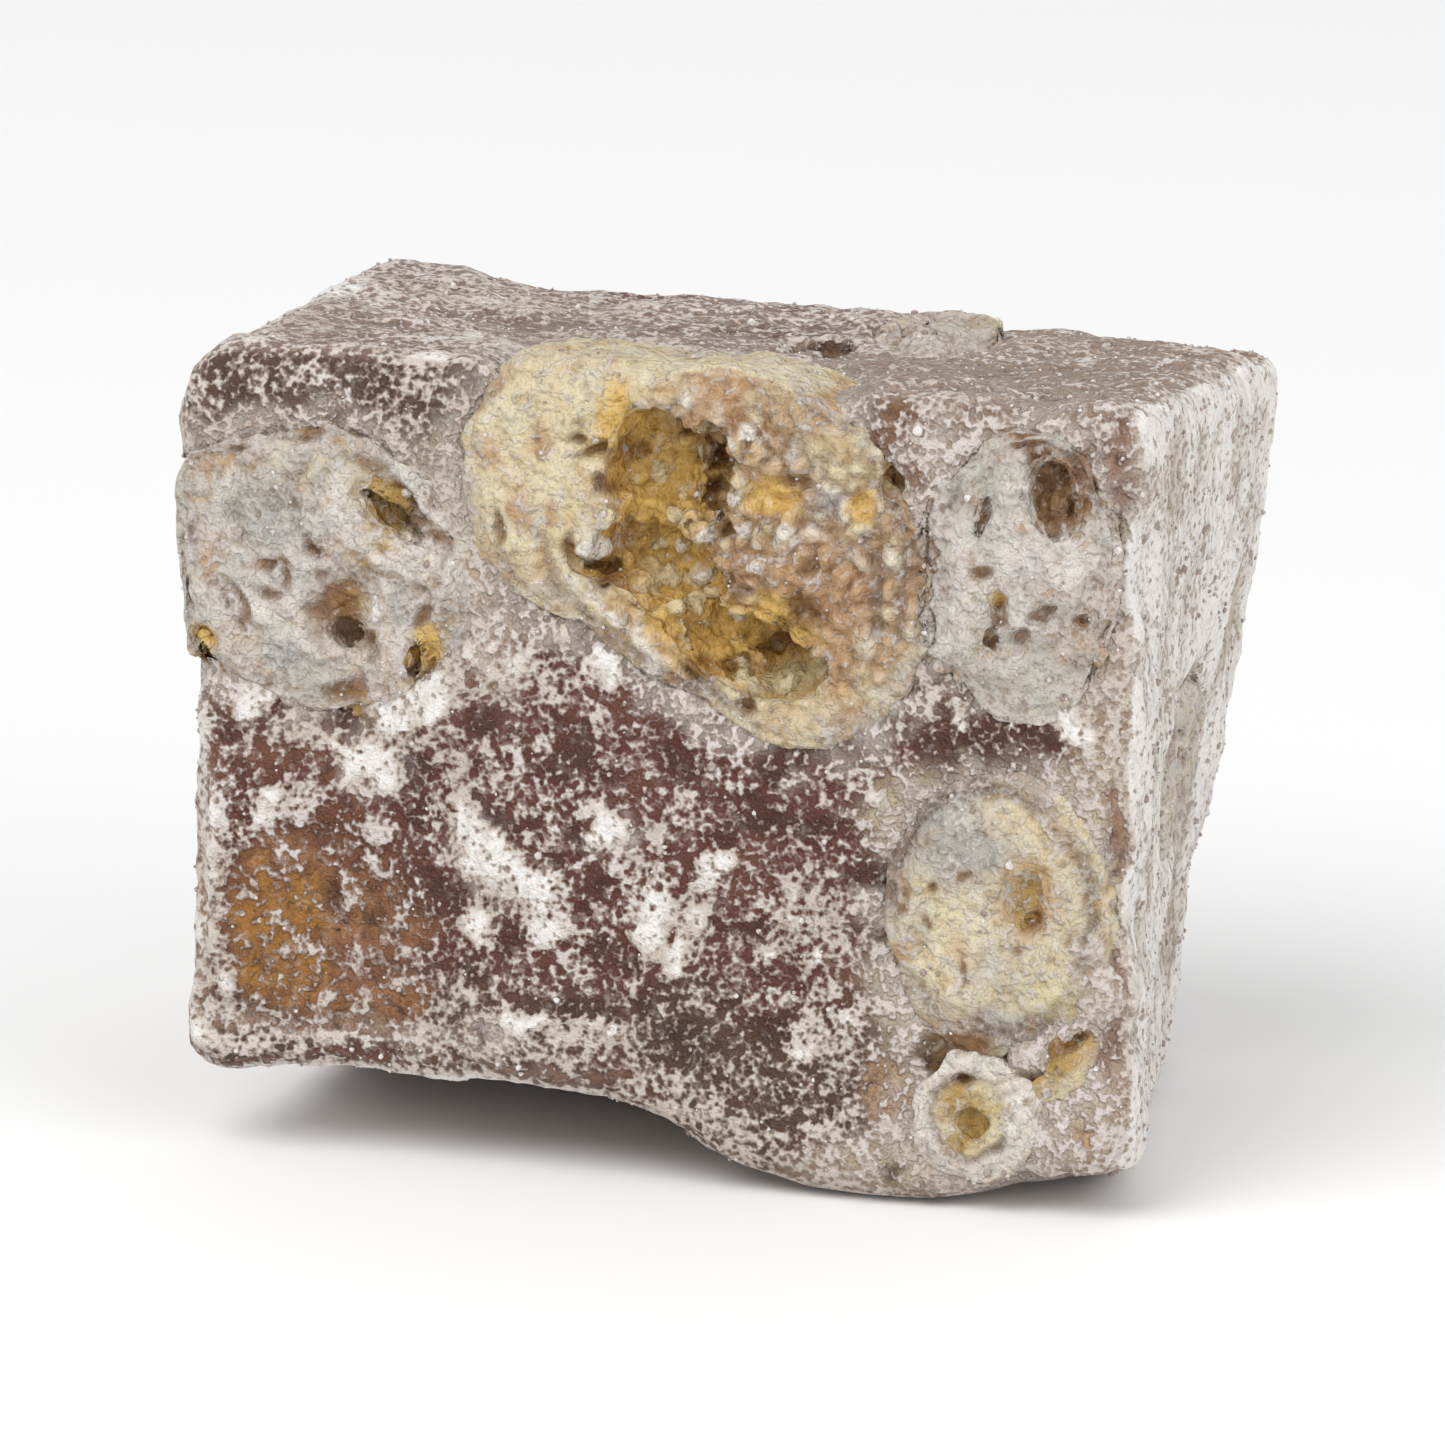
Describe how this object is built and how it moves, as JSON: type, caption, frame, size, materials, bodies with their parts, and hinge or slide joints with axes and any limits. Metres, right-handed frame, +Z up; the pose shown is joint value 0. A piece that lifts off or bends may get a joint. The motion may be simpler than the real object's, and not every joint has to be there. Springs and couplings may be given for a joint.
{
  "type": "turkish delight",
  "caption": "Hand-cut block of brown starch jelly dusted with powder, with pieces of nut cut flush with its sides, on a flat base with a lifted front edge.",
  "frame": {"origin": "on the surface the block stands on, under the middle of its bounding box", "axes": "+X to the right along the cut front, +Y to the back, +Z up"},
  "size_m": [0.031, 0.0188, 0.0253],
  "materials": {
    "jelly": "satin gel under a dusting of pale powder",
    "nut": "matt, cut kernel with golden skin in its hollows"
  },
  "bodies": {
    "root": {"jelly": "jelly", "nut_middle": "nut", "nut_upper_left": "nut", "nut_upper_right": "nut", "nut_lower_right": "nut", "nut_small_low": "nut", "nut_sliver_low": "nut", "nut_top": "nut", "nut_right_side": "nut", "nut_left_side": "nut", "nut_back_left": "nut", "nut_back_right": "nut"}
  },
  "joints": []
}
